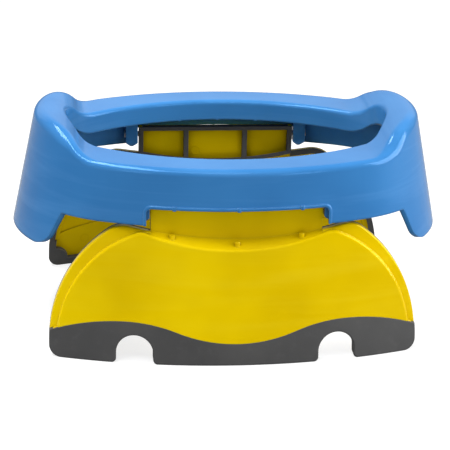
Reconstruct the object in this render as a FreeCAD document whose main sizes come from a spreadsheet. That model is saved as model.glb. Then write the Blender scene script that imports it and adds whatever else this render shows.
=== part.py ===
import FreeCAD, Part
import math
import os

import Sketcher

# A folding potty training chair. A thin-walled saddle-shaped seat ring hangs on two arched leg panels
# that hinge under its front and rear rims.
# Frame: X along the seat, Y to the rear, Z up, origin on the floor at the middle of the footprint.
# Millimetres and degrees throughout.

SIZES = [
    # seat ring
    ("seat_length", 338.8, "tip to tip of the end wings, at their foot"),
    ("seat_width", 227.5, "front to rear of the seat's wall, at the level of the wings' foot"),
    ("end_radius", 102.0, "plan radius of the rounded ends at the wings' foot"),
    ("end_draft", 11.4, "outward lean of the end walls"),
    ("side_draft", 5.44, "outward lean of the front and rear walls"),
    ("seat_wall", 2.8, "wall of the seat moulding"),
    ("seat_height", 151.4, "height of the front and rear rims"),
    ("crest_height", 171.3, "height of the raised ends"),
    ("crest_place", 143.0, "distance of the end crests from the middle"),
    ("crest_radius", 30.0, "roll of the end crests"),
    ("crest_fall", 40.0, "how far the roll of a crest runs on down its outer side"),
    ("dip_radius", 18.0, "hollow where the rim turns up to an end"),
    ("rise_angle", 51.0, "steepness of the rise to an end"),
    ("rim_round", 5.0, "rounding of the rim's outer edge along the front and rear"),
    ("crest_round", 12.0, "rounding of the rim's outer edge at the raised ends"),
    ("hole_length", 254.0, "length of the seat opening"),
    ("hole_width", 152.0, "width of the seat opening"),
    ("hole_end_radius", 48.0, "plan radius of the opening's ends"),
    ("hole_round", 3.5, "rounding of the rim's inner edge"),
    ("lip_depth", 16.5, "depth of the lip round the opening"),
    ("skirt_foot", 107.6, "height of the skirt's lower edge"),
    ("wing_foot", 78.3, "height of the wings' lower edge"),
    ("wing_top_width", 145.0, "width of a wing where it leaves the skirt"),
    ("wing_foot_width", 132.0, "width of a wing at its lower edge"),
    ("wing_corner", 14.0, "rounding of a wing's lower corners"),
    ("cutout_width", 137.6, "width of the skirt's gap for the leg's neck"),
    ("cutout_top", 120.9, "height of the gap's upper edge"),
    ("cutout_corner", 4.0, "rounding of the gap's corners"),
    ("bead", 0.9, "how far the rolled edge stands proud of the skirt"),
    ("bead_width", 2.2, "width of the rolled edge"),
    ("nub_radius", 1.5, "liner nubs on the skirt and the lip"),
    ("nub_height", 3.2, "height of a nub"),
    ("nub_drop", 0.6, "how far a nub reaches past its edge"),
    ("skirt_nub_pitch", 48.0, "spacing of the nubs on the skirt"),
    ("lip_nub_pitch", 32.0, "spacing of the nubs on the lip"),
    # hinge
    ("pivot_height", 118.0, "height of the hinge axis"),
    ("pin_radius", 2.2, "hinge pin"),
    ("pin_play", 0.08, "running clearance round a pin, on the radius"),
    ("pin_head_radius", 3.0, "head of a hinge pin"),
    ("pin_head_depth", 1.2, "depth of a pin's head"),
    ("pin_room", 1.6, "space between a pin's head and the skirt"),
    ("lug_gap", 1.0, "side clearance between the neck and a lug"),
    ("lug_width", 10.0, "hinge lug, along the axis"),
    ("lug_radius", 7.0, "rounded foot of a lug, seen from the side"),
    ("lug_foot", 107.2, "height of a lug's tip"),
    ("lug_point", 4.5, "height of the pointed tip of a lug, seen from the front"),
    # leg panel
    ("foot_stride", 7.75, "how far a leg's face stands outside the seat's wall, at the floor"),
    ("leg_plan_radius", 425.0, "bulge of the panel in plan"),
    ("leg_splay", 8.6, "outward lean of the panel"),
    ("leg_side_start", 9.5, "height where the panel's sides begin to sweep in"),
    ("leg_corner", 9.0, "rounding of the panel's lower corners"),
    ("leg_wall", 2.5, "wall of the leg moulding"),
    ("leg_depth", 8.0, "depth of the panel's turned-in edge"),
    ("border_width", 284.0, "panel across its foot"),
    ("border_sweep", 113.7, "sweep of the panel's sides"),
    ("border_shoulder", 20.0, "sweep of the panel's shoulders"),
    ("border_height", 104.5, "height of the panel's shoulders"),
    ("border_scoop", 95.4, "height the shoulders fall towards at the middle"),
    ("border_round", 1.6, "rounding of the panel's outer edge"),
    ("face_width", 273.4, "bulging face across its foot"),
    ("face_sweep", 98.4, "sweep of the face's sides"),
    ("face_shoulder", 10.0, "sweep of the face's shoulders"),
    ("face_height", 101.2, "height of the face's shoulders"),
    ("face_scoop", 89.4, "height of the face at the middle"),
    ("face_step", 3.0, "height of the bulging face above its border"),
    ("face_round", 2.4, "rounding of the face's edge"),
    ("ledge_slope", 22.0, "rise of the ledge behind the face towards the neck"),
    ("neck_width", 130.0, "neck between the hinge lugs"),
    ("neck_top", 125.1, "height of the neck's upper edge"),
    ("neck_face", 3.6, "distance of the neck's outer face from the hinge axis"),
    ("neck_depth", 8.6, "depth of the neck with its ribs"),
    ("neck_round", 2.4, "rounding of the neck's upper outer edge"),
    ("ear_width", 3.0, "end wall of the neck that carries a pin"),
    ("ear_drop", 7.5, "how far an end wall of the neck reaches below the hinge axis"),
    ("peg_radius", 2.2, "liner pegs on the ledge"),
    ("peg_height", 3.0, "height of a liner peg"),
    ("peg_pitch", 49.0, "spacing of the liner pegs"),
    ("peg_inset", 5.9, "distance of the pegs behind the face's edge"),
    # soft grips
    ("wave_edge", 20.5, "height of the foot grip at the panel's sides"),
    ("wave_dip", 17.0, "height of the foot grip at the middle"),
    ("wave_crest", 32.6, "height of the foot grip at its crests"),
    ("wave_crest_place", 84.0, "distance of the crests from the middle"),
    ("wave_balance", 0.54, "share of the fall from a crest that belongs to the dip"),
    ("notch_place", 77.3, "distance of the arched notches from the middle"),
    ("notch_radius", 14.0, "arch of a notch"),
    ("notch_height", 21.9, "height of a notch"),
    ("notch_mouth", 3.5, "rounding of a notch's mouth"),
    ("grip_skin", 1.4, "soft cover over the panel's core"),
    ("core_lap", 4.0, "how far the core runs up behind the face"),
    ("grip_rail", 6.0, "soft border inside the foot"),
    ("grip_blob", 10.0, "radius of the round pad inside the foot's corners"),
    ("grip_round", 1.2, "rounding of the foot's front edge"),
    ("grip_rim", 1.5, "soft strip on the panel's turned-in edge"),
    ("grip_rim_width", 4.5, "width of that strip"),
    ("rail_width", 3.2, "soft rail along the top and foot of the neck"),
    ("rib_width", 3.8, "soft rib inside the neck"),
    ("rib_pitch", 49.8, "spacing of the two inner ribs"),
    ("lining", 0.8, "soft lining over the neck's end walls"),
    # cutting shapes
    ("far", 200.0, "reach of the cutting shapes"),
    ("spare", 6.0, "overlap of the cutting shapes"),
    ("sink", 1.0, "overlap of joined shapes"),
]

doc = FreeCAD.newDocument("PottyTrainingChair")
sheet = doc.addObject("Spreadsheet::Sheet", "Sizes")


class Size:
    """A number that remembers its formula, so a drawing can start at the value and stay bound."""

    def __init__(self, value, text):
        self.value = float(value)
        self.text = text

    def __add__(self, other):
        other = as_size(other)
        return Size(self.value + other.value, f"({self.text} + {other.text})")

    def __sub__(self, other):
        other = as_size(other)
        return Size(self.value - other.value, f"({self.text} - {other.text})")

    def __mul__(self, other):
        other = as_size(other)
        return Size(self.value * other.value, f"({self.text} * {other.text})")

    def __truediv__(self, other):
        other = as_size(other)
        return Size(self.value / other.value, f"({self.text} / {other.text})")

    def __neg__(self):
        return Size(-self.value, f"(0 - {self.text})")

    def __radd__(self, other):
        return as_size(other) + self

    def __rsub__(self, other):
        return as_size(other) - self

    def __rmul__(self, other):
        return as_size(other) * self


def as_size(number):
    if isinstance(number, Size):
        return number
    return Size(number, f"({float(number)!r})")


def root(size):
    return Size(math.sqrt(size.value), f"sqrt({size.text})")


def slope(angle):
    return Size(math.tan(math.radians(angle.value)), f"tan({angle.text})")


def sine(angle):
    return Size(math.sin(math.radians(angle.value)), f"sin({angle.text})")


def cosine(angle):
    return Size(math.cos(math.radians(angle.value)), f"cos({angle.text})")


S = {}
for row, (alias, number, note) in enumerate(SIZES, start=1):
    sheet.set(f"A{row}", note)
    sheet.set(f"B{row}", str(number))
    sheet.setAlias(f"B{row}", alias)
    S[alias] = Size(number, f"Sizes.{alias}")
doc.recompute()


# ---------------------------------------------------------------- drawing helpers

def plane_of(body, role):
    return next(item for item in body.Origin.OriginFeatures if item.Role == role)


def arc_between(start, end, radius):
    """Minor arc from start to end; a positive radius bulges to the right of the way from start to end."""
    (x1, y1), (x2, y2) = start, end
    chord = math.hypot(x2 - x1, y2 - y1)
    rise = math.sqrt(max(radius * radius - chord * chord / 4.0, 0.0))
    across = ((y2 - y1) / chord, -(x2 - x1) / chord)
    side = 1.0 if radius > 0 else -1.0
    centre = ((x1 + x2) / 2.0 - side * rise * across[0], (y1 + y2) / 2.0 - side * rise * across[1])
    first = math.atan2(y1 - centre[1], x1 - centre[0])
    last = math.atan2(y2 - centre[1], x2 - centre[0])
    circle = Part.Circle(FreeCAD.Vector(centre[0], centre[1], 0), FreeCAD.Vector(0, 0, 1), abs(radius))
    if side > 0:
        return Part.ArcOfCircle(circle, first, last), 1, 2
    return Part.ArcOfCircle(circle, last, first), 2, 1


def draw(sketch, corners):
    """Closed outline. Each corner is (x, y) or (x, y, radius), with the radius of the side to the next."""
    count = len(corners)
    ends = []
    for index, corner in enumerate(corners):
        following = corners[(index + 1) % count]
        start = (corner[0].value, corner[1].value)
        end = (following[0].value, following[1].value)
        if len(corner) == 3:
            curve, first, last = arc_between(start, end, corner[2].value)
        else:
            curve = Part.LineSegment(FreeCAD.Vector(*start, 0), FreeCAD.Vector(*end, 0))
            first, last = 1, 2
        ends.append((sketch.addGeometry(curve, False), first, last))
    for index, (side, first, last) in enumerate(ends):
        following, its_first, _ = ends[(index + 1) % count]
        sketch.addConstraint(Sketcher.Constraint("Coincident", side, last, following, its_first))
    for (side, first, _), corner in zip(ends, corners):
        for kind, size in (("DistanceX", corner[0]), ("DistanceY", corner[1])):
            number = sketch.addConstraint(Sketcher.Constraint(kind, -1, 1, side, first, size.value))
            sketch.setExpression(f"Constraints[{number}]", size.text)
        if len(corner) == 3:
            radius = corner[2] if corner[2].value > 0 else -corner[2]
            number = sketch.addConstraint(Sketcher.Constraint("Radius", side, radius.value))
            sketch.setExpression(f"Constraints[{number}]", radius.text)


def sketch_on(body, role, level, corners):
    sketch = body.newObject("Sketcher::SketchObject", body.Name + "Outline")
    sketch.AttachmentSupport = [(plane_of(body, role), "")]
    sketch.MapMode = "FlatFace"
    sketch.setExpression("AttachmentOffset.Base.z", level.text)
    draw(sketch, corners)
    return sketch


def new_body(name):
    return doc.addObject("PartDesign::Body", name)


def pad_up(name, low, high, corners):
    """Solid with a plan outline, from height low to height high."""
    body = new_body(name)
    pad = body.newObject("PartDesign::Pad", name + "Pad")
    pad.Profile = sketch_on(body, "XY_Plane", low, corners)
    pad.setExpression("Length", (high - low).text)
    return body


def pad_back(name, low, high, corners):
    """Solid with an outline seen from the front, from depth low to depth high."""
    body = new_body(name)
    pad = body.newObject("PartDesign::Pad", name + "Pad")
    pad.Profile = sketch_on(body, "XZ_Plane", -low, corners)
    pad.Reversed = True
    pad.setExpression("Length", (high - low).text)
    return body


def pad_across(name, low, high, corners):
    """Solid with an outline seen from the side, from left low to right high."""
    body = new_body(name)
    pad = body.newObject("PartDesign::Pad", name + "Pad")
    pad.Profile = sketch_on(body, "YZ_Plane", low, corners)
    pad.setExpression("Length", (high - low).text)
    return body


def boolean(kind, name, base, tool):
    result = doc.addObject("Part::" + kind, name)
    result.Base = base
    result.Tool = tool
    return result


def cut(name, base, *tools):
    for index, tool in enumerate(tools):
        base = boolean("Cut", f"{name}{index}", base, tool)
    return base


def common(name, base, tool):
    return boolean("Common", name, base, tool)


def fuse(name, *shapes):
    result = doc.addObject("Part::MultiFuse", name)
    result.Shapes = list(shapes)
    result.Refine = True
    return result


def cylinder(name, radius, height, x, y, z, axis=None):
    rod = doc.addObject("Part::Cylinder", name)
    rod.setExpression("Radius", radius.text)
    rod.setExpression("Height", height.text)
    if axis == "x":
        rod.Placement.Rotation = FreeCAD.Rotation(FreeCAD.Vector(0, 1, 0), 90)
    if axis == "y":
        rod.Placement.Rotation = FreeCAD.Rotation(FreeCAD.Vector(1, 0, 0), -90)
    for place, size in (("x", x), ("y", y), ("z", z)):
        rod.setExpression(f"Placement.Base.{place}", as_size(size).text)
    return rod


def block(low_x, high_x, low_y, high_y):
    return [(low_x, low_y), (high_x, low_y), (high_x, high_y), (low_x, high_y)]


def mirrored(half):
    """Outline closed by the mirror image of its right half, drawn from the foot up.

    The last side of the half, with its radius if it has one, runs across to the mirror image.
    """
    left = []
    for index in range(len(half) - 1, -1, -1):
        x, z = half[index][0], half[index][1]
        side = half[index - 1][2:] if index > 0 else ()
        left.append((-x, z) + tuple(side))
    return half + left


# ---------------------------------------------------------------- seat ring

FAR = S["far"]
SPARE = S["spare"]
SINK = S["sink"]
ZERO = as_size(0.0)


def oval(half_length, half_width, end_radius):
    """Four-arc oval: two wide arcs joined by two end arcs, all tangent."""
    reach = half_length - end_radius
    spare = half_width - end_radius
    wide = (reach * reach + half_width * half_width - end_radius * end_radius) / (2 * spare)
    join_x = reach + end_radius * reach / (wide - end_radius)
    join_y = end_radius * (wide - half_width) / (wide - end_radius)
    return [(join_x, -join_y, end_radius), (join_x, join_y, wide), (-join_x, join_y, end_radius),
            (-join_x, -join_y, wide)]


def seat_oval(level, inset):
    """Plan outline of the seat's wall at a height, drawn in by an inset."""
    rise = level - S["wing_foot"]
    narrowing = rise * slope(S["side_draft"]) + inset
    half_length = S["seat_length"] / 2 - rise * slope(S["end_draft"]) - inset
    return oval(half_length, S["seat_width"] / 2 - narrowing, S["end_radius"] - narrowing)


def hole_oval(grow):
    return oval(S["hole_length"] / 2 + grow, S["hole_width"] / 2 + grow, S["hole_end_radius"] + grow)


def face_at(x, wide_arc):
    """Distance from the middle of a point on an oval's wide arc."""
    join_x, join_y, wide = wide_arc
    centre = root(wide * wide - join_x * join_x) - join_y
    return root(wide * wide - x * x) - centre


def skirt_face(x, level):
    return face_at(x, seat_oval(level, ZERO)[1])


def lip_face(x):
    return face_at(x, hole_oval(S["seat_wall"] / 2)[1])


LUG_INNER = S["neck_width"] / 2 + S["lug_gap"]
LUG_OUTER = LUG_INNER + S["lug_width"]
PIVOT_PLACE = (skirt_face(LUG_OUTER + S["pin_head_depth"], S["pivot_height"])
               - S["seat_wall"] - S["pin_head_radius"] - S["pin_room"])


def above_saddle(inset, drop):
    """Region over the saddle line: flat middle, hollow, rise and rolled crest at each end."""
    angle = S["rise_angle"]
    fall = S["crest_fall"]
    dip = S["dip_radius"] + inset
    crest = S["crest_radius"] - inset
    floor = S["seat_height"] - inset - drop
    top = S["crest_height"] - inset - drop
    rise_end_x = S["crest_place"] - crest * sine(angle)
    rise_end_z = top - crest * (1 - cosine(angle))
    rise_start_z = floor + dip * (1 - cosine(angle))
    rise_start_x = rise_end_x - (rise_end_z - rise_start_z) / slope(angle)
    fall_x = S["crest_place"] + crest * sine(fall)
    fall_z = top - crest * (1 - cosine(fall))
    return mirrored([
        (rise_start_x - dip * sine(angle), floor, dip),
        (rise_start_x, rise_start_z),
        (rise_end_x, rise_end_z, -crest),
        (fall_x, fall_z),
        (FAR, fall_z - (FAR - fall_x) * slope(fall)),
        (FAR, FAR * 2),
    ])


def ruled_wall(name, inset, low, high):
    body = new_body(name)
    loft = body.newObject("PartDesign::AdditiveLoft", name + "Wall")
    loft.Profile = sketch_on(body, "XY_Plane", low, seat_oval(low, inset))
    loft.Sections = [sketch_on(body, "XY_Plane", high, seat_oval(high, inset))]
    loft.Ruled = True
    return body


def rim_edges(shape):
    """Numbers and edges of the curved edges above the skirt's foot."""
    return [(number, edge) for number, edge in enumerate(shape.Edges, start=1)
            if edge.Curve.TypeId != "Part::GeomLine" and edge.BoundBox.ZMin > S["skirt_foot"].value]


def rim_rounding(point, inset):
    """Rounding of the rim's outer edge at a point: tight along the middle, fuller at the raised ends."""
    flat_end = above_saddle(ZERO, ZERO)[0][0].value
    share = (abs(point.x) - flat_end) / (S["crest_place"].value - flat_end)
    share = min(max(share, 0.0), 1.0)
    return S["rim_round"].value + share * (S["crest_round"] - S["rim_round"]).value - inset.value


def rounded(name, base, edges):
    """Base with the given edges rounded; each edge comes with its two end radii."""
    fillet = doc.addObject("Part::Fillet", name)
    fillet.Base = base
    fillet.Edges = edges
    return fillet


def round_rim(name, base, inset):
    doc.recompute()
    edges = []
    for number, edge in rim_edges(base.Shape):
        first, last = (edge.valueAt(place) for place in (edge.FirstParameter, edge.LastParameter))
        edges.append((number, rim_rounding(first, inset), rim_rounding(last, inset)))
    return rounded(name, base, edges)


def round_hole(name, base):
    doc.recompute()
    reach = S["hole_length"].value / 2 + SINK.value
    radius = S["hole_round"].value
    return rounded(name, base, [(number, radius, radius) for number, edge in rim_edges(base.Shape)
                                if max(abs(edge.BoundBox.XMin), abs(edge.BoundBox.XMax)) < reach])


def pocket_through(body, name, sketch):
    pocket = body.newObject("PartDesign::Pocket", name)
    pocket.Profile = sketch
    pocket.Type = "ThroughAll"
    pocket.Midplane = True


def seat_form(name, inset, low):
    """Solid ring between the walls, the saddle line and the opening, down to a height."""
    body = ruled_wall(name, inset, low, S["crest_height"] + SPARE)
    pocket_through(body, name + "Saddle", sketch_on(body, "XZ_Plane", ZERO, above_saddle(inset, ZERO)))
    return cut(name + "Ring", round_rim(name + "Rim", body, inset),
               pad_up(name + "Opening", ZERO, FAR, hole_oval(inset)))


def skirt_trim(name, side):
    """Region under the skirt beside the wings, on the rear (side 1) or the front (side -1)."""
    top_y = S["wing_top_width"] / 2
    foot_y = S["wing_foot_width"] / 2
    lean_y = top_y - foot_y
    lean_z = S["skirt_foot"] - S["wing_foot"]
    length = root(lean_y * lean_y + lean_z * lean_z)
    run = S["wing_corner"] * (1 - lean_y / length) / (lean_z / length)
    low = S["wing_foot"] - SPARE
    half = [
        (foot_y - run, low),
        (FAR, low),
        (FAR, S["skirt_foot"]),
        (top_y, S["skirt_foot"]),
        (foot_y + run * lean_y / length, S["wing_foot"] + run * lean_z / length, -S["wing_corner"]),
        (foot_y - run, S["wing_foot"]),
    ]
    if side < 0:
        ends = [corner[:2] for corner in half]
        radii = [corner[2:] for corner in half]
        half = [(-y, z) + radii[index - 1] for index, (y, z) in reversed(list(enumerate(ends)))]
    return pad_across(name, -FAR, FAR, half)


def neck_gap(name, grow):
    """Rounded gap in the skirt that the leg's neck swings through."""
    half = S["cutout_width"] / 2 + grow
    top = S["cutout_top"] + grow
    corner = S["cutout_corner"] + grow
    return pad_back(name, -FAR, FAR, mirrored([
        (half, S["wing_foot"]),
        (half, top - corner, corner),
        (half - corner, top),
    ]))


def build_lug(name, side, hand, core):
    """Bored hinge lug: round at the foot from the side, pointed from the front."""
    radius = S["lug_radius"]
    middle = PIVOT_PLACE * side
    top = S["seat_height"]
    tip = S["lug_foot"]
    low, high = (LUG_INNER, LUG_OUTER) if hand > 0 else (-LUG_OUTER, -LUG_INNER)
    flank = pad_across(name + "Flank", low, high, [
        (middle + radius, tip + radius),
        (middle + radius, top),
        (middle - radius, top),
        (middle - radius, tip + radius, radius),
        (middle, tip, radius),
    ])
    front = pad_back(name + "Front", -FAR, FAR, [
        ((low + high) / 2, tip),
        (high, tip + S["lug_point"]),
        (high, top),
        (low, top),
        (low, tip + S["lug_point"]),
    ])
    bore = cylinder(name + "Bore", S["pin_radius"], S["lug_width"] + 2 * SINK, low - SINK,
                    middle, S["pivot_height"], "x")
    return cut(name + "Bored", common(name, common(name + "Blank", flank, front), core), bore)


def build_seat():
    wall = S["seat_wall"]
    form = round_hole("SeatOuter", seat_form("SeatForm", ZERO, S["wing_foot"]))
    cavity = seat_form("SeatCavity", wall, S["wing_foot"] - SPARE)
    gap = neck_gap("NeckGap", ZERO)
    lip_zone = pad_up("LipZone", ZERO, FAR, hole_oval(wall * 1.1))
    over_lip = pad_back("OverLip", -FAR, FAR, above_saddle(ZERO, S["lip_depth"]))
    under_lip = cut("UnderLip", lip_zone, over_lip)
    trims = [skirt_trim("RearTrim", 1), skirt_trim("FrontTrim", -1)]
    shell = cut("SeatShell", form, cavity, under_lip, *trims, gap)

    bead_skin = ruled_wall("BeadSkin", -S["bead"], S["skirt_foot"], S["cutout_top"] + 2 * SPARE)
    bead_back = ruled_wall("BeadBack", wall / 2, S["skirt_foot"] - SINK, S["cutout_top"] + 3 * SPARE)
    bead_zone = cut("BeadZone", neck_gap("BeadOutline", S["bead_width"]), gap)
    parts = [shell, common("Bead", cut("BeadWall", bead_skin, bead_back), bead_zone)]

    core = seat_form("SeatCore", wall / 2, S["wing_foot"] - SPARE)
    for side, end in ((1, "Rear"), (-1, "Front")):
        for hand, name in ((1, "Right"), (-1, "Left")):
            parts.append(build_lug(f"Lug{end}{name}", side, hand, core))
        for place in (-1, 0, 1):
            tail = f"{end}{place + 2}"
            x = S["skirt_nub_pitch"] * place
            level = S["cutout_top"] - S["nub_drop"]
            parts.append(cylinder("SkirtNub" + tail, S["nub_radius"], S["nub_height"],
                                  x, skirt_face(x, level) * side, level))
            x = S["lip_nub_pitch"] * place
            level = S["seat_height"] - S["lip_depth"] - S["nub_drop"]
            parts.append(cylinder("LipNub" + tail, S["nub_radius"], S["nub_height"],
                                  x, lip_face(x) * side, level))
    return fuse("SeatRing", *parts)


# ---------------------------------------------------------------- legs, drawn for the rear one

SLACK = 0.01
HALF_NECK = S["neck_width"] / 2
NECK_FACE = PIVOT_PLACE + S["neck_face"]
NECK_BACK = NECK_FACE - S["leg_wall"]
NECK_FRONT = NECK_FACE - S["neck_depth"]
LEG_REACH = S["seat_width"] / 2 + S["foot_stride"]
LEDGE_START = LEG_REACH - S["face_scoop"] * slope(S["leg_splay"])
DEEP = 4 * S["leg_depth"]


def shoulder_of(kind):
    """Shoulder arc's centre, and radius and centre height of the scoop arc that touches both shoulders."""
    shoulder = S[kind + "_shoulder"]
    side_x = S[kind + "_width"] / 2 - S[kind + "_sweep"]
    z = S[kind + "_height"] - shoulder
    gap = S[kind + "_sweep"] - shoulder
    rise = z - S["leg_side_start"]
    x = side_x + root(gap * gap - rise * rise)
    above = S[kind + "_scoop"] - z
    scoop = (x * x + above * above - shoulder * shoulder) / (2 * (shoulder - above))
    return x, z, scoop, S[kind + "_scoop"] + scoop


def leg_outline(kind, inset):
    """Leg panel seen from behind: rounded foot, swept sides, shoulders and the scoop between them."""
    half = S[kind + "_width"] / 2
    corner = S["leg_corner"] - inset
    sweep = S[kind + "_sweep"]
    shoulder = S[kind + "_shoulder"]
    side_x = half - sweep
    x, z, scoop, scoop_z = shoulder_of(kind)
    reach = sweep - inset
    away = scoop + inset
    join_x = side_x + reach * (x - side_x) / (sweep - shoulder)
    join_z = S["leg_side_start"] + reach * (z - S["leg_side_start"]) / (sweep - shoulder)
    edge_x = away * x / (scoop + shoulder)
    edge_z = scoop_z - away * (scoop_z - z) / (scoop + shoulder)
    return mirrored([
        (half - inset - corner, inset, corner),
        (half - inset, inset + corner),
        (half - inset, S["leg_side_start"], reach),
        (join_x, join_z, shoulder - inset),
        (edge_x, edge_z, -away),
    ])


def leg_profile(name, kind, inset):
    return pad_back(name, ZERO, FAR, leg_outline(kind, inset))


def slanted(pad, along, across, rise):
    """Makes a pad climb along one axis as it runs along another; its length stays that of the run."""
    directions = {"x": 0.0, "y": 0.0, "z": 0.0}
    directions[along[0]] = along[1]
    directions[across] = rise.value
    pad.UseCustomVector = True
    pad.Direction = FreeCAD.Vector(*directions.values())
    pad.setExpression("Direction." + across, rise.text)
    pad.AlongSketchNormal = True


def leg_slab(name, near, far):
    """Curved slab behind the panel's face, between two depths, leaning with the leg."""
    half = S["border_width"] / 2 + SPARE
    outer = S["leg_plan_radius"] - near
    inner = S["leg_plan_radius"] - far
    middle = LEG_REACH - S["leg_plan_radius"]
    outer_y = middle + root(outer * outer - half * half)
    inner_y = middle + root(inner * inner - half * half)
    body = new_body(name)
    pad = body.newObject("PartDesign::Pad", name + "Pad")
    pad.Profile = sketch_on(body, "XY_Plane", ZERO, [
        (half, inner_y),
        (half, outer_y, outer),
        (-half, outer_y),
        (-half, inner_y, -inner),
    ])
    pad.setExpression("Length", (S["neck_top"] + SPARE).text)
    slanted(pad, ("z", 1), "y", -slope(S["leg_splay"]))
    return body


def curved(name, outline, near, far):
    return common(name, outline, leg_slab(name + "Slab", near, far))


def ledge_arc(drop):
    """Radius and middle height of the ledge's top, drawn on the plane through the face's edge at the middle.

    The arc is flatter than the face's scoop by what the ledge rises on the way back from the curved face.
    """
    scoop = shoulder_of("face")[2]
    rise = slope(S["ledge_slope"])
    flatter = (1 - rise * slope(S["leg_splay"])) / scoop - rise / S["leg_plan_radius"]
    return as_size(1) / flatter + drop, S["face_scoop"] - rise * S["face_round"] - drop


def ledge_height(x, drop):
    radius, middle = ledge_arc(drop)
    return middle + radius - root(radius * radius - x * x)


def under_ledge(name, drop, half):
    """Region under the slanted ledge, or a drop below it, across the neck."""
    low = -SPARE - drop
    radius = ledge_arc(drop)[0]
    side = ledge_height(half, drop)
    body = new_body(name)
    pad = body.newObject("PartDesign::Pad", name + "Pad")
    pad.Profile = sketch_on(body, "XZ_Plane", -LEDGE_START, [
        (half, low),
        (half, side, -radius),
        (-half, side),
        (-half, low),
    ])
    pad.setExpression("Length", (LEDGE_START - SPARE).text)
    slanted(pad, ("y", -1), "z", slope(S["ledge_slope"]))
    return body


def under_wave(name, raised):
    """Region under the soft foot's wavy edge."""
    crest_x = S["wave_crest_place"]
    crest_z = S["wave_crest"] + raised
    dip_z = S["wave_dip"] + raised
    fall = S["wave_crest"] - S["wave_dip"]
    both = (crest_x * crest_x + fall * fall) / (2 * fall)
    dip = both * S["wave_balance"]
    turn_x = crest_x * dip / both
    turn_z = dip_z + fall * dip / both
    reach = S["border_width"] / 2 - crest_x
    drop = S["wave_crest"] - S["wave_edge"]
    flank = (reach * reach + drop * drop) / (2 * drop)
    far_reach = reach + SPARE
    far_z = crest_z - flank + root(flank * flank - far_reach * far_reach)
    return pad_back(name, ZERO, FAR, mirrored([
        (crest_x + far_reach, -SPARE),
        (crest_x + far_reach, far_z, flank),
        (crest_x, crest_z, both - dip),
        (turn_x, turn_z, -dip),
    ]))


def notches(name, grow):
    """Two arched notches in the foot."""
    radius = S["notch_radius"] + grow
    mouth = S["notch_mouth"]
    spring = S["notch_height"] - S["notch_radius"]
    found = []
    for hand, tail in ((1, "Right"), (-1, "Left")):
        middle = S["notch_place"] * hand
        found.append(pad_back(name + tail, ZERO, FAR, [
            (middle - radius - mouth, -SPARE),
            (middle + radius + mouth, -SPARE),
            (middle + radius + mouth, ZERO, -mouth),
            (middle + radius, mouth),
            (middle + radius, spring, radius),
            (middle, spring + radius, radius),
            (middle - radius, spring),
            (middle - radius, mouth, -mouth),
            (middle - radius - mouth, ZERO),
        ]))
    return found


def outer_edges(shape, depth):
    """Edges of a panel's piece that lie in its outer surface, at a depth behind the leg's face."""
    found = []
    lean = slope(S["leg_splay"]).value
    radius = S["leg_plan_radius"].value - depth.value
    middle = (LEG_REACH - S["leg_plan_radius"]).value
    for number, edge in enumerate(shape.Edges, start=1):
        ends = (edge.valueAt(edge.FirstParameter + (edge.LastParameter - edge.FirstParameter) * share)
                for share in (0.0, 0.4, 1.0))
        if all(abs(math.hypot(end.x, end.y + end.z * lean - middle) - radius) < SLACK for end in ends):
            found.append((number, edge))
    return found


def upper_edge(shape, lowest_y):
    """Edges along the top of a solid, behind a depth."""
    top = shape.BoundBox.ZMax - SLACK
    return [f"Edge{number}" for number, edge in enumerate(shape.Edges, start=1)
            if edge.BoundBox.ZMin > top and edge.BoundBox.YMin > lowest_y - SLACK]


def fillet_edges(body, name, radius, chosen, *limits):
    """Rounds the edges that the chosen rule picks from the body so far."""
    doc.recompute()
    feature = body.Tip
    fillet = body.newObject("PartDesign::Fillet", name)
    fillet.Base = (feature, chosen(feature.Shape, *limits))
    fillet.setExpression("Radius", radius.text)


def round_outer(name, base, depth, radius, below):
    """Rounds a panel piece's edges in its outer surface, as far as they start below a height."""
    size = radius.value
    return rounded(name, base, [(number, size, size) for number, edge in outer_edges(base.Shape, depth)
                                if edge.BoundBox.ZMin < below.value - SLACK])


def neck_part(name, near, far, low):
    return pad_back(name, near, far, block(-HALF_NECK, HALF_NECK, low, S["neck_top"]))


def build_shell(end, foot, clear):
    """Bulging face on its stepped border, hollow behind, down to the foot's edge."""
    wall = S["leg_wall"]
    step = S["face_step"]
    border = curved(end + "Border", leg_profile(end + "Whole", "border", ZERO), step, S["leg_depth"])
    face = curved(end + "Face", leg_profile(end + "Raised", "face", ZERO), ZERO, step + SINK)
    border_hollow = curved(end + "BorderHollow", leg_profile(end + "Inner", "border", wall),
                           step + wall, S["leg_depth"] + SPARE)
    face_hollow = curved(end + "FaceHollow", leg_profile(end + "InnerRaised", "face", wall),
                         wall, step + wall + SINK)
    doc.recompute()
    border_round = round_outer(end + "BorderRound", border, step, S["border_round"], FAR)
    face_round = round_outer(end + "FaceRound", face, ZERO, S["face_round"], FAR)
    tray = fuse(end + "Tray", cut(end + "BorderEnds", border_round, clear), face_round)
    return cut(end + "Shell", tray, border_hollow, face_hollow, foot)


def build_core(end, foot):
    """The foot's plate under the soft grip, running up behind the face."""
    near = S["grip_skin"]
    far = near + S["leg_wall"]
    below = common(end + "CoreBelow", leg_profile(end + "CoreOutline", "border", S["leg_wall"]), foot)
    lap = common(end + "CoreLap", leg_profile(end + "CoreRaised", "face", S["leg_wall"] / 2),
                 under_wave(end + "Lap", S["core_lap"]))
    plate = curved(end + "CorePlate", fuse(end + "CoreWhole", below, lap), near, far)
    return cut(end + "Core", plate, *notches(end + "CoreNotch", near))


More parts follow.
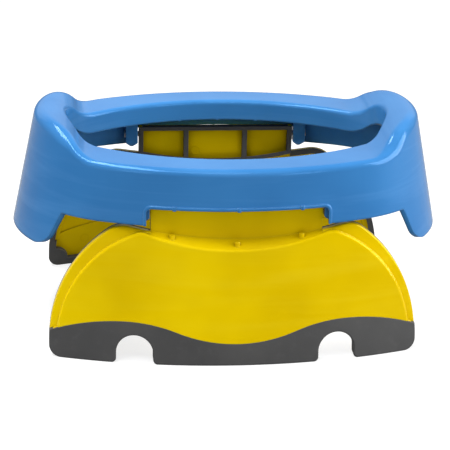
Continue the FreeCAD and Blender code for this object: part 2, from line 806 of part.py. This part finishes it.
def build_neck(end):
    """Ledge behind the face, the upright neck with its end walls, and the liner pegs."""
    wall = S["leg_wall"]
    low = S["face_scoop"] / 2
    ledge_plate = cut(end + "LedgePlate", under_ledge(end + "LedgeTop", ZERO, HALF_NECK),
                      under_ledge(end + "LedgeUnder", wall, HALF_NECK + SINK))
    strip = neck_part(end + "Strip", NECK_BACK, FAR, low)
    ledge = curved(end + "Ledge", common(end + "LedgeStrip", strip, ledge_plate), S["face_round"], DEEP)
    upright = neck_part(end + "Upright", NECK_BACK, NECK_FACE, low)
    fillet_edges(upright, end + "NeckRound", S["neck_round"], upper_edge, NECK_FACE.value)
    neck = cut(end + "Neck", upright, under_ledge(end + "NeckFoot", wall / 2, HALF_NECK + SINK))
    pieces = [ledge, neck]
    ear = S["ear_width"]
    for low_x, side in ((HALF_NECK - ear, "Right"), (-HALF_NECK, "Left")):
        pieces.append(pad_back(f"{end}Ear{side}", NECK_FRONT + 2 * S["lining"], NECK_FACE - wall / 2,
                               block(low_x, low_x + ear, S["pivot_height"] - S["ear_drop"], S["neck_top"])))
    plan = S["leg_plan_radius"]
    for place in (-1, 0, 1):
        x = S["peg_pitch"] * place
        behind = S["peg_inset"] + plan - root(plan * plan - x * x)
        base = ledge_height(x, ZERO) + behind * slope(S["ledge_slope"])
        pieces.append(cylinder(f"{end}Peg{place + 2}", S["peg_radius"], S["peg_height"] + SINK,
                               x, LEDGE_START - behind, base - SINK))
    return pieces


def build_foot_grip(end, foot, core):
    """Soft foot over the core plate, with a soft strip round the panel's turned-in edge."""
    full = S["leg_depth"] + S["grip_rim"]
    behind = S["grip_skin"] + S["leg_wall"]
    half = S["border_width"] / 2 - S["grip_rail"]
    whole = leg_profile(end + "GripOutline", "border", ZERO)
    block_whole = common(end + "FootCurve", curved(end + "FootDeep", whole, ZERO, full), foot)
    foot_block = cut(end + "FootBlock", block_whole, *notches(end + "Notch", ZERO))
    doc.recompute()
    foot_round = round_outer(end + "FootRound", foot_block, ZERO, S["grip_round"], S["wave_dip"])
    recess = curved(end + "RecessDeep", leg_profile(end + "RecessOutline", "border", S["grip_rail"]),
                    behind, full + SPARE)
    blobs = [cylinder(f"{end}Blob{side}", S["grip_blob"], FAR, half * hand, ZERO, S["grip_rail"], "y")
             for hand, side in ((1, "Right"), (-1, "Left"))]
    recess = cut(end + "Recess", recess, *notches(end + "RecessNotch", S["notch_mouth"]), *blobs)
    middle = pad_back(end + "EdgeMiddle", ZERO, FAR, block(-HALF_NECK, HALF_NECK, S["face_scoop"] / 2, FAR))
    band = cut(end + "EdgeBand", curved(end + "EdgeDeep", whole, S["leg_depth"], full),
               leg_profile(end + "EdgeInner", "border", S["grip_rim_width"]), middle, foot)
    hollow_foot = cut(end + "FootHollow", foot_round, recess)
    return cut(end + "FootGrip", fuse(end + "GripWhole", hollow_foot, band), core)


def build_neck_grip(end, solid, bores):
    """Soft frame inside the neck: top rail, foot rail along the ledge, end linings and two ribs."""
    low = S["face_scoop"] / 2
    rail = S["rail_width"]
    bare = cut(end + "Rail", neck_part(end + "Slats", NECK_FRONT, NECK_BACK, low),
               under_ledge(end + "RailFoot", rail, HALF_NECK + SINK))
    inner_face = HALF_NECK - S["ear_width"] - S["lining"]
    half_rib = S["rib_width"] / 2
    rib = S["rib_pitch"] / 2
    spans = ((-inner_face, -rib - half_rib), (half_rib - rib, rib - half_rib), (rib + half_rib, inner_face))
    windows = []
    for number, (low_x, high_x) in enumerate(spans):
        opening = pad_back(f"{end}Window{number}", ZERO, FAR, block(low_x, high_x, low, S["neck_top"] - rail))
        windows.append(cut(f"{end}Pane{number}", opening,
                           under_ledge(f"{end}Sill{number}", ZERO, HALF_NECK + SINK)))
    return cut(end + "NeckGrip", bare, *windows, solid, bores)


def build_leg(end):
    """Panel, foot grip and neck grip of the rear leg; the front leg mirrors it."""
    foot = under_wave(end + "Foot", ZERO)
    column = pad_back(end + "Column", ZERO, FAR, block(-HALF_NECK, HALF_NECK, S["face_scoop"] - SPARE, FAR))
    clear = cut(end + "Clear", column,
                under_ledge(end + "ClearFoot", ZERO, HALF_NECK + SINK))
    core = build_core(end, foot)
    solid = fuse(end + "Panel", build_shell(end, foot, clear), core, *build_neck(end))
    bore = cylinder(end + "PinBore", S["pin_radius"] + S["pin_play"], S["neck_width"] + 2 * SINK,
                    -HALF_NECK - SINK, PIVOT_PLACE, S["pivot_height"], "x")
    between = HALF_NECK - S["ear_width"] - S["lining"]
    bores = cut(end + "PinBores", bore,
                pad_back(end + "Between", ZERO, FAR, block(-between, between, ZERO, FAR)))
    panel = cut(end + "LegPanel", solid, bores)
    return panel, build_foot_grip(end, foot, core), build_neck_grip(end, solid, bores)


# ---------------------------------------------------------------- hinge pins

def build_pin(name, hand):
    """Headed pin: pressed into the lug, running in the neck's end wall; the head sits outside the lug."""
    inner = HALF_NECK - S["ear_width"]
    shank_start = inner if hand > 0 else -LUG_OUTER
    head_start = LUG_OUTER if hand > 0 else -LUG_OUTER - S["pin_head_depth"]
    shank = cylinder(name + "_shank", S["pin_radius"], LUG_OUTER - inner,
                     shank_start, PIVOT_PLACE, S["pivot_height"], "x")
    cap = cylinder(name + "_head", S["pin_head_radius"], S["pin_head_depth"],
                   head_start, PIVOT_PLACE, S["pivot_height"], "x")
    return fuse(name, shank, cap)


def mirrored_to_front(name, rear):
    copy = doc.addObject("Part::Mirroring", name)
    copy.Source = rear
    copy.Normal = FreeCAD.Vector(0, 1, 0)
    return copy


# ---------------------------------------------------------------- assembly and export

nodes = {"seat_ring": build_seat()}
panel, grip, frame = build_leg("Rear")
nodes["rear_leg_panel"] = panel
nodes["rear_foot_grip"] = grip
nodes["rear_neck_grip"] = frame
for side, hand in (("right", 1), ("left", -1)):
    nodes[f"rear_{side}_pin"] = build_pin(f"Rear{side.capitalize()}Pin", hand)
for name, rear in list(nodes.items()):
    if name.startswith("rear_"):
        front_name = name.replace("rear_", "front_")
        nodes[front_name] = mirrored_to_front(front_name.title().replace("_", ""), rear)
for name, node in nodes.items():
    node.Label = name
doc.recompute()

for item in doc.Objects:
    if "Invalid" in item.State or "Error" in item.State:
        raise RuntimeError(f"{item.Name} did not rebuild: {item.State}")
for name, node in nodes.items():
    if node.Shape.isNull() or not node.Shape.isValid() or len(node.Shape.Solids) != 1:
        raise RuntimeError(f"{name} is not one sound solid")

os.makedirs("parts", exist_ok=True)
for name, node in nodes.items():
    node.Shape.exportStep(os.path.join("parts", f"{name}.step"))
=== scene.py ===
"""Looks, light and camera for the folding potty training chair. Metres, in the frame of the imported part."""

import math

import bpy
from mathutils import Matrix, Vector

MIDDLE = (0, 0, 0.1)
FLOOR_HALF = 6.0
FLOOR_GREY = 0.35
FLOOR_GLOW = 0.75
AMBIENT = 0.23
LIGHTS = (  # name, place, width, height, power
    ("overhead", (-0.5, 0.0, 1.3), 1.4, 0.3, 21),
    ("back_wall", (0, 1.7, 0.9), 3.2, 1.1, 4),
    ("side_right", (1.6, -0.25, 0.7), 1.0, 1.2, 28),
    ("front_soft", (-0.2, -0.9, 1.5), 1.0, 0.4, 5),
    ("front_left", (-1.2, -1.9, 0.8), 0.5, 0.24, 2),
    ("front_right", (1.1, -1.9, 0.8), 0.6, 0.3, 3.8),
)
CAMERA_PLACE = (-0.136, -1.3245, 0.5686)
CAMERA_TURN = (5.9, -20.57, 1.37)  # yaw, pitch and roll in degrees
LENS_LENGTH = 140.3  # millimetres
SENSOR_WIDTH = 36.0
# reach of the painted shade laid into corners, recesses and under the seat
PAINTED_SHADE_REACH = 0.018
FLAT_BEND = 0.995  # cosine between true and rounded normal where wear starts
EDGE_BEND = 0.9  # and where it is full
RING_RADIUS = 0.0035
RING_PLACES = ((-0.111, 0.0215), (0.111, 0.0215), (-0.0165, 0.1025))  # across and up

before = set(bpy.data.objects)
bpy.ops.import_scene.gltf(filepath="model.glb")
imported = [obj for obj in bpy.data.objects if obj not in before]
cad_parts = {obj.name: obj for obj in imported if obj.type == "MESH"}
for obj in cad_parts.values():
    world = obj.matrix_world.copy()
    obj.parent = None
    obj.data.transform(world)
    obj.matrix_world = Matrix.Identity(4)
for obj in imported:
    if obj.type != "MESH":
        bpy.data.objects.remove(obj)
scene = bpy.context.scene
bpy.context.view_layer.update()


# ---------------------------------------------------------------- node helpers

def new_material(name):
    material = bpy.data.materials.new(name)
    material.use_nodes = True
    tree = material.node_tree
    shader = next(node for node in tree.nodes if node.type == "BSDF_PRINCIPLED")
    return material, tree, shader


def add(tree, kind, inputs=None, **settings):
    """New node of a kind, with its settings; an input is a value or the socket that feeds it."""
    node = tree.nodes.new(kind)
    for key, value in settings.items():
        setattr(node, key, value)
    for key, value in (inputs or {}).items():
        if isinstance(value, bpy.types.NodeSocket):
            tree.links.new(value, node.inputs[key])
        else:
            node.inputs[key].default_value = value
    return node


def noise(tree, point, scale, detail=2.0, roughness=0.5, distortion=0.0):
    node = add(tree, "ShaderNodeTexNoise", {
        "Vector": point, "Scale": scale, "Detail": detail,
        "Roughness": roughness, "Distortion": distortion})
    return node.outputs["Fac"]


def spread(tree, fac, low, high, to_low=0.0, to_high=1.0):
    node = add(tree, "ShaderNodeMapRange", {
        "Value": fac, "From Min": low, "From Max": high, "To Min": to_low, "To Max": to_high})
    return node.outputs["Result"]


def blend_colours(tree, fac, first, second, mode="MIX"):
    node = add(tree, "ShaderNodeMix", {"Factor": fac}, data_type="RGBA", blend_type=mode)
    for socket, value in ((node.inputs[6], first), (node.inputs[7], second)):
        if isinstance(value, bpy.types.NodeSocket):
            tree.links.new(value, socket)
        else:
            socket.default_value = value
    return node.outputs[2]


def maths(tree, operation, first, second=0.0):
    node = tree.nodes.new("ShaderNodeMath")
    node.operation = operation
    for socket, value in zip(node.inputs, (first, second)):
        if isinstance(value, bpy.types.NodeSocket):
            tree.links.new(value, socket)
        else:
            socket.default_value = value
    return node.outputs[0]


def linear(red, green, blue):
    """Colour written as it is seen, 0 to 255, turned to scene light."""
    found = []
    for channel in (red, green, blue):
        share = channel / 255
        found.append(share / 12.92 if share <= 0.04045 else ((share + 0.055) / 1.055) ** 2.4)
    return (*found, 1.0)


def object_point(tree, stretch=(1, 1, 1)):
    place = add(tree, "ShaderNodeTexCoord").outputs["Object"]
    return add(tree, "ShaderNodeMapping", {"Vector": place, "Scale": stretch}).outputs["Vector"]


def rounded_normal(tree, radius, samples=6):
    """Normal of an edge as if it were rounded to a radius."""
    return add(tree, "ShaderNodeBevel", {"Radius": radius}, samples=samples).outputs["Normal"]


def bumped(tree, height, strength, distance, normal=None):
    node = add(tree, "ShaderNodeBump", {"Height": height, "Strength": strength, "Distance": distance})
    if normal is not None:
        tree.links.new(normal, node.inputs["Normal"])
    return node.outputs["Normal"]


# ---------------------------------------------------------------- materials

def rubbed_edges(tree, edge):
    """How far a rounded normal leaves the true one: 1 on an edge, 0 on open faces."""
    true_normal = add(tree, "ShaderNodeNewGeometry").outputs["Normal"]
    bend = add(tree, "ShaderNodeVectorMath", {0: edge, 1: true_normal}, operation="DOT_PRODUCT")
    return spread(tree, bend.outputs["Value"], FLAT_BEND, EDGE_BEND)


def moulded_plastic(name, colour, deep, pale, painted_shade, edge_radius, soft_radius, gloss, sheen, marks=()):
    """Glossy plastic: drift, flow streaks, specks, rubbed edges, painted shade in corners, recesses and under
    the seat, sink marks and scratches.
    """
    material, tree, shader = new_material(name)
    point = object_point(tree)
    drift = spread(tree, noise(tree, point, scale=9, detail=3), 0.35, 0.65)
    flow = object_point(tree, stretch=(5, 5, 60))
    streak = spread(tree, noise(tree, flow, scale=1.2, detail=4, roughness=0.55, distortion=0.6), 0.45, 0.8)
    speck = spread(tree, noise(tree, point, scale=420, detail=2, roughness=0.7), 0.7, 0.78)
    base = blend_colours(tree, drift, colour, deep)
    base = blend_colours(tree, maths(tree, "MULTIPLY", streak, 0.15), base, pale)
    base = blend_colours(tree, maths(tree, "MULTIPLY", speck, 0.12), base, deep)
    edge = rounded_normal(tree, edge_radius)
    worn = maths(tree, "MULTIPLY", rubbed_edges(tree, edge),
                 spread(tree, noise(tree, point, scale=70, detail=4, roughness=0.6), 0.3, 0.7, 0.15, 0.6))
    base = blend_colours(tree, worn, base, pale)
    # painted shade: the base colour darkens towards the darkest colour where ambient occlusion finds surfaces
    # close by, in corners, recesses and under the seat
    openness = add(tree, "ShaderNodeAmbientOcclusion", {"Distance": PAINTED_SHADE_REACH}, samples=8).outputs["AO"]
    base = blend_colours(tree, spread(tree, openness, 0.15, 0.8, to_low=0.75, to_high=0.0), base, painted_shade)
    height = noise(tree, point, scale=14)
    for place in marks:
        ring = ring_mark(tree, place)
        base = blend_colours(tree, maths(tree, "MULTIPLY", ring, 0.5), base, deep)
        height = maths(tree, "ADD", height, ring)
    tree.links.new(base, shader.inputs["Base Color"])

    # fingerprints and fine scratches over a glossy skin
    smudge = noise(tree, point, scale=26, detail=5, roughness=0.6, distortion=0.4)
    scratch = add(tree, "ShaderNodeTexWave", {
        "Vector": object_point(tree, stretch=(1.0, 0.35, 1.6)), "Scale": 60, "Distortion": 18, "Detail": 3,
        "Detail Scale": 2.5}, wave_type="BANDS", bands_direction="DIAGONAL").outputs["Fac"]
    fine = spread(tree, scratch, 0.93, 1.0, to_high=0.08)
    rough = maths(tree, "ADD", spread(tree, smudge, 0.3, 0.75, gloss, gloss + 0.08), fine)
    tree.links.new(rough, shader.inputs["Roughness"])
    soft = rounded_normal(tree, soft_radius, samples=12)
    uneven = bumped(tree, height, strength=0.25, distance=0.001, normal=soft)
    tree.links.new(uneven, shader.inputs["Normal"])
    shader.inputs["Specular IOR Level"].default_value = sheen
    shader.inputs["Specular Tint"].default_value = pale
    shader.inputs["IOR"].default_value = 1.49
    return material


def ring_mark(tree, place):
    """Round ejector mark on the hidden side of both legs, about a point given across and up."""
    coords = add(tree, "ShaderNodeTexCoord")
    parts = add(tree, "ShaderNodeSeparateXYZ", {"Vector": coords.outputs["Object"]})
    facing = add(tree, "ShaderNodeSeparateXYZ", {"Vector": coords.outputs["Normal"]})
    flat = add(tree, "ShaderNodeCombineXYZ", {"X": parts.outputs["X"], "Y": parts.outputs["Z"]})
    away = add(tree, "ShaderNodeVectorMath", {0: flat.outputs["Vector"], 1: (*place, 0)},
               operation="DISTANCE")
    off = maths(tree, "ABSOLUTE", maths(tree, "SUBTRACT", away.outputs["Value"], RING_RADIUS))
    ring = spread(tree, off, 0.0002, 0.0007, to_low=1.0, to_high=0.0)
    inward = maths(tree, "MULTIPLY", maths(tree, "SIGN", parts.outputs["Y"]), facing.outputs["Y"])
    return maths(tree, "MULTIPLY", ring, maths(tree, "LESS_THAN", inward, -0.5))


def soft_rubber(name):
    """Matt soft overmould: fine spark-eroded grain, scuffs and dusty edges."""
    material, tree, shader = new_material(name)
    point = object_point(tree)
    patch = spread(tree, noise(tree, point, scale=14, detail=4, roughness=0.6), 0.3, 0.7)
    base = blend_colours(tree, patch, linear(72, 72, 73), linear(84, 84, 84))
    edge = rounded_normal(tree, 0.0008)
    scuffed = spread(tree, noise(tree, point, scale=110, detail=5, roughness=0.7), 0.55, 0.72)
    wear = maths(tree, "ADD", maths(tree, "MULTIPLY", rubbed_edges(tree, edge), 0.35),
                 maths(tree, "MULTIPLY", scuffed, 0.12))
    base = blend_colours(tree, wear, base, linear(112, 112, 112))
    tree.links.new(base, shader.inputs["Base Color"])
    tree.links.new(spread(tree, patch, 0.0, 1.0, to_low=0.5, to_high=0.64), shader.inputs["Roughness"])
    grain = noise(tree, point, scale=1500, detail=3, roughness=0.6)
    grainy = bumped(tree, grain, strength=0.35, distance=0.00012, normal=edge)
    tree.links.new(grainy, shader.inputs["Normal"])
    shader.inputs["Specular IOR Level"].default_value = 0.35
    return material


def drawn_steel(name):
    """Hinge pin steel: bright, with fine turning lines round the axis."""
    material, tree, shader = new_material(name)
    rings = noise(tree, object_point(tree, stretch=(400, 30, 30)), scale=6, detail=3)
    base = blend_colours(tree, rings, linear(150, 152, 156), linear(196, 197, 200))
    tree.links.new(base, shader.inputs["Base Color"])
    tree.links.new(spread(tree, rings, 0.3, 0.7, to_low=0.22, to_high=0.38), shader.inputs["Roughness"])
    edge = rounded_normal(tree, 0.0003)
    turned = bumped(tree, rings, strength=0.2, distance=0.0001, normal=edge)
    tree.links.new(turned, shader.inputs["Normal"])
    shader.inputs["Metallic"].default_value = 1.0
    return material


# the darkest colour given to each plastic is painted shade for corners, recesses and the parts under the seat
blue = moulded_plastic(
    "seat_blue", colour=linear(60, 129, 193), deep=linear(52, 117, 180), pale=linear(130, 190, 250),
    painted_shade=linear(20, 62, 116), edge_radius=0.0007, soft_radius=0.002, gloss=0.08, sheen=0.5)
yellow = moulded_plastic(
    "leg_yellow", colour=linear(251, 216, 0), deep=linear(229, 193, 0), pale=linear(255, 236, 60),
    painted_shade=linear(128, 98, 0), edge_radius=0.0009, soft_radius=0.0009, gloss=0.11, sheen=0.45,
    marks=RING_PLACES)
rubber = soft_rubber("grip_grey")
steel = drawn_steel("pin_steel")

FINISH = {"seat_ring": blue}
for end in ("rear", "front"):
    FINISH[f"{end}_leg_panel"] = yellow
    for part in ("foot", "neck"):
        FINISH[f"{end}_{part}_grip"] = rubber
    for side in ("left", "right"):
        FINISH[f"{end}_{side}_pin"] = steel
for node, material in FINISH.items():
    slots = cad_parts[node].data.materials
    if not slots:
        slots.append(material)
    for index in range(len(slots)):
        slots[index] = material


# ---------------------------------------------------------------- floor, light and camera

def area_light(name, place, width, height, power):
    """White softbox that faces the middle of the object."""
    light = bpy.data.lights.new(name, "AREA")
    light.shape = "RECTANGLE"
    light.size = width
    light.size_y = height
    light.energy = power
    lamp = bpy.data.objects.new(name, light)
    lamp.location = place
    lamp.rotation_euler = (Vector(MIDDLE) - Vector(place)).to_track_quat("-Z", "Y").to_euler()
    scene.collection.objects.link(lamp)


def make_floor():
    mesh = bpy.data.meshes.new("floor")
    corners = [(FLOOR_HALF * x, FLOOR_HALF * y, 0) for x, y in ((-1, -1), (1, -1), (1, 1), (-1, 1))]
    mesh.from_pydata(corners, [], [(0, 1, 2, 3)])
    floor = bpy.data.objects.new("floor", mesh)
    scene.collection.objects.link(floor)
    material, tree, shader = new_material("floor_white")
    out = next(node for node in tree.nodes if node.type == "OUTPUT_MATERIAL")
    shader.inputs["Base Color"].default_value = (FLOOR_GREY, FLOOR_GREY, FLOOR_GREY, 1)
    shader.inputs["Roughness"].default_value = 0.8
    shader.inputs["Specular IOR Level"].default_value = 0.1
    seen = add(tree, "ShaderNodeLightPath").outputs["Is Camera Ray"]
    glow = add(tree, "ShaderNodeEmission", {"Strength": maths(tree, "MULTIPLY", seen, FLOOR_GLOW)})
    both = add(tree, "ShaderNodeAddShader", {0: shader.outputs["BSDF"], 1: glow.outputs["Emission"]})
    tree.links.new(both.outputs["Shader"], out.inputs["Surface"])
    mesh.materials.append(material)


def make_world():
    world = bpy.data.worlds.new("studio")
    scene.world = world
    world.use_nodes = True
    tree = world.node_tree
    back = next(node for node in tree.nodes if node.type == "BACKGROUND")
    back.inputs["Color"].default_value = (1, 1, 1, 1)
    seen = add(tree, "ShaderNodeLightPath").outputs["Is Camera Ray"]
    tree.links.new(spread(tree, seen, 0, 1, AMBIENT, 1.0), back.inputs["Strength"])


def make_camera():
    """Camera a little left of the middle, looking down on the front leg."""
    yaw, pitch, roll = (math.radians(angle) for angle in CAMERA_TURN)
    lens = bpy.data.cameras.new("camera")
    lens.sensor_width = SENSOR_WIDTH
    lens.lens = LENS_LENGTH
    forward = Vector((math.sin(yaw) * math.cos(pitch), math.cos(yaw) * math.cos(pitch), math.sin(pitch)))
    right = forward.cross(Vector((0, 0, 1))).normalized()
    up = right.cross(forward)
    turned_right = math.cos(roll) * right + math.sin(roll) * up
    turned_up = -math.sin(roll) * right + math.cos(roll) * up
    basis = Matrix((turned_right, turned_up, -forward)).transposed().to_4x4()
    camera = bpy.data.objects.new("camera", lens)
    camera.matrix_world = Matrix.Translation(CAMERA_PLACE) @ basis
    scene.collection.objects.link(camera)
    scene.camera = camera


make_floor()
make_world()
make_camera()
for name, place, width, height, power in LIGHTS:
    area_light(name, place, width, height, power)
scene.view_settings.view_transform = "Standard"
